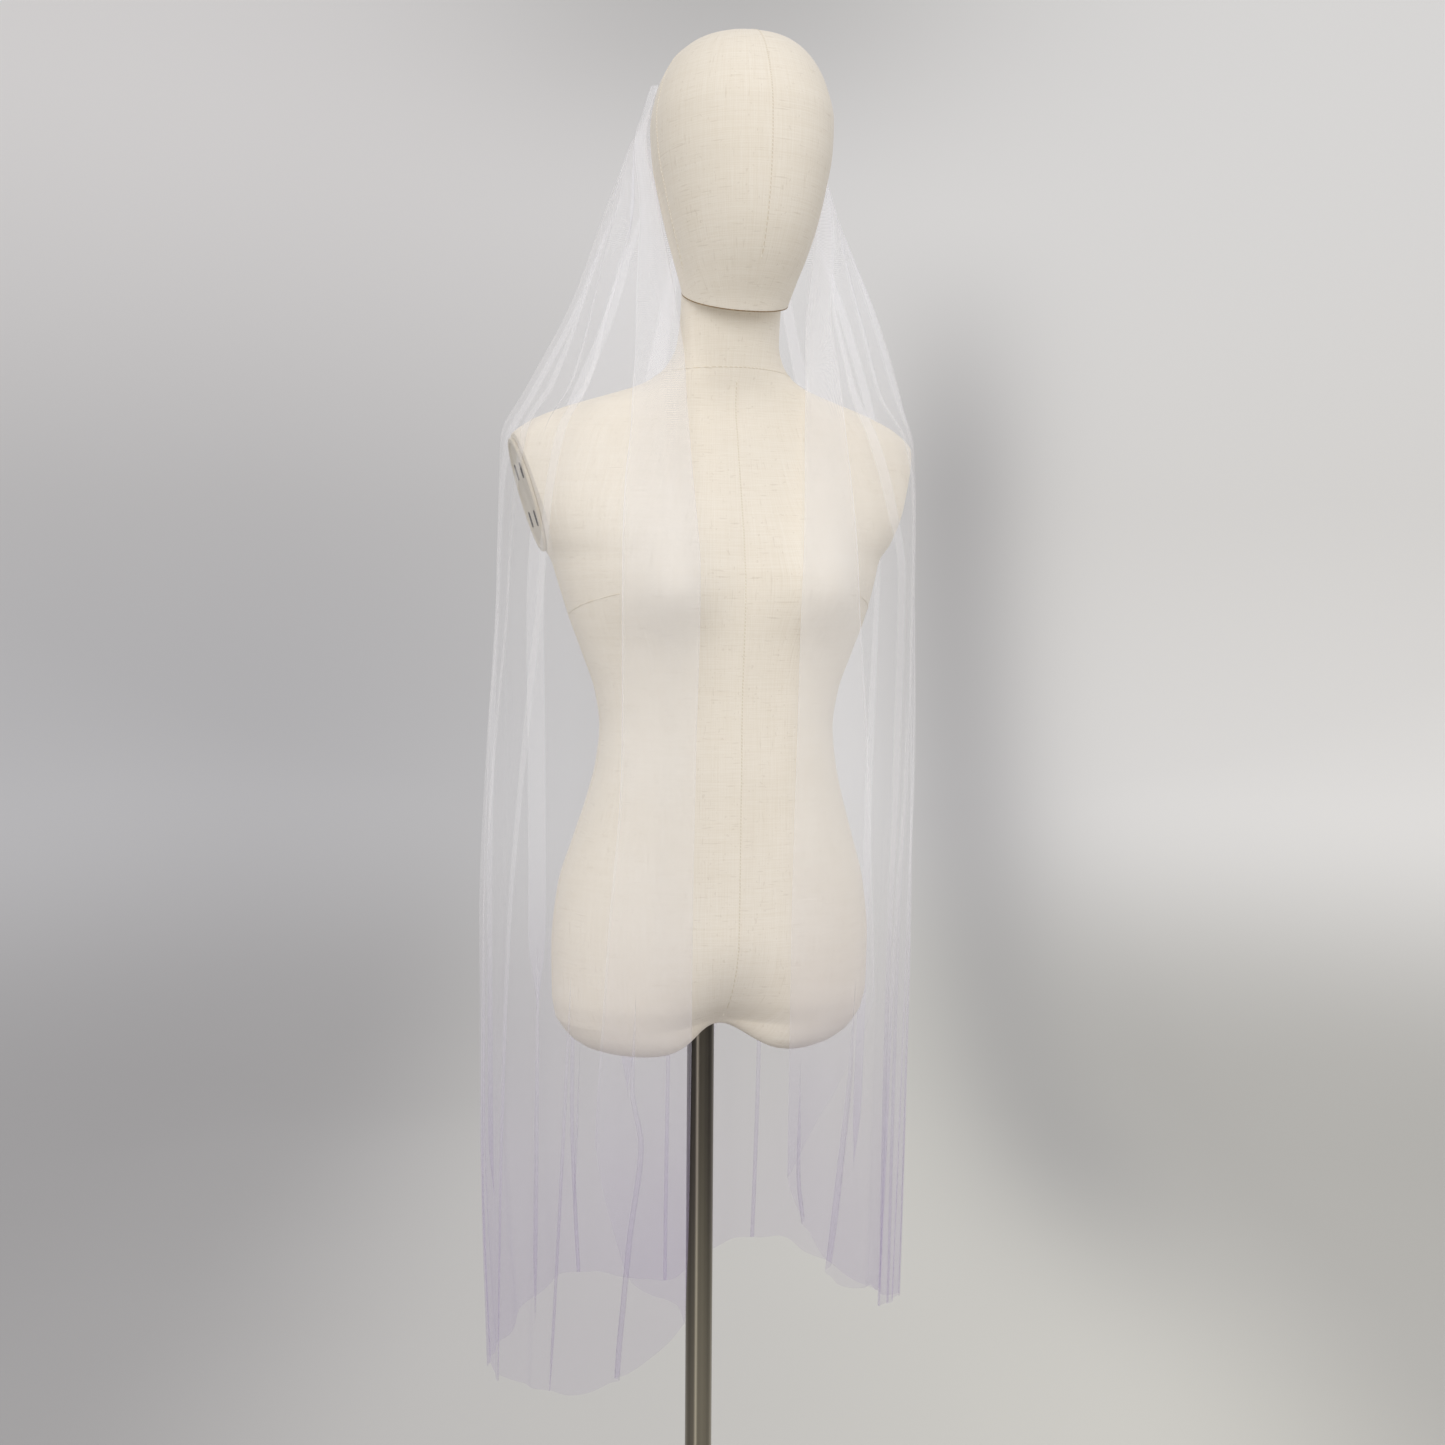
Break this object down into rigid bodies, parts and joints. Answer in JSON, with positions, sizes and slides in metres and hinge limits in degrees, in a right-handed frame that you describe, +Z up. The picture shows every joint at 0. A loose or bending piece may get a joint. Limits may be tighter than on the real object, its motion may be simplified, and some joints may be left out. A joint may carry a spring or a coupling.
{
  "type": "bridal veil on a limbless dress form",
  "caption": "Gathered tulle bridal veil hanging from a comb behind the crown of a limbless linen dress form on a pole and round base plate.",
  "frame": {"origin": "centre of the base plate's underside, on the pole's axis", "axes": "+Z up along the pole, -Y the way the form faces, +X to the right as seen from the front"},
  "size_m": [0.4392, 0.394, 1.75],
  "materials": {
    "linen": "cream linen with slubs",
    "arm_plate": "matt cream",
    "brushed_steel": "brushed along the pole",
    "tulle": "soft sheer net, white turning lilac towards the hem",
    "comb": "clear"
  },
  "bodies": {
    "root": {"arm_plate_left": "arm_plate", "arm_plate_right": "arm_plate", "base_plate": "brushed_steel", "comb": "comb", "gathering_band": "tulle", "head": "linen", "pole": "brushed_steel", "torso": "linen", "veil": "tulle"}
  },
  "joints": []
}
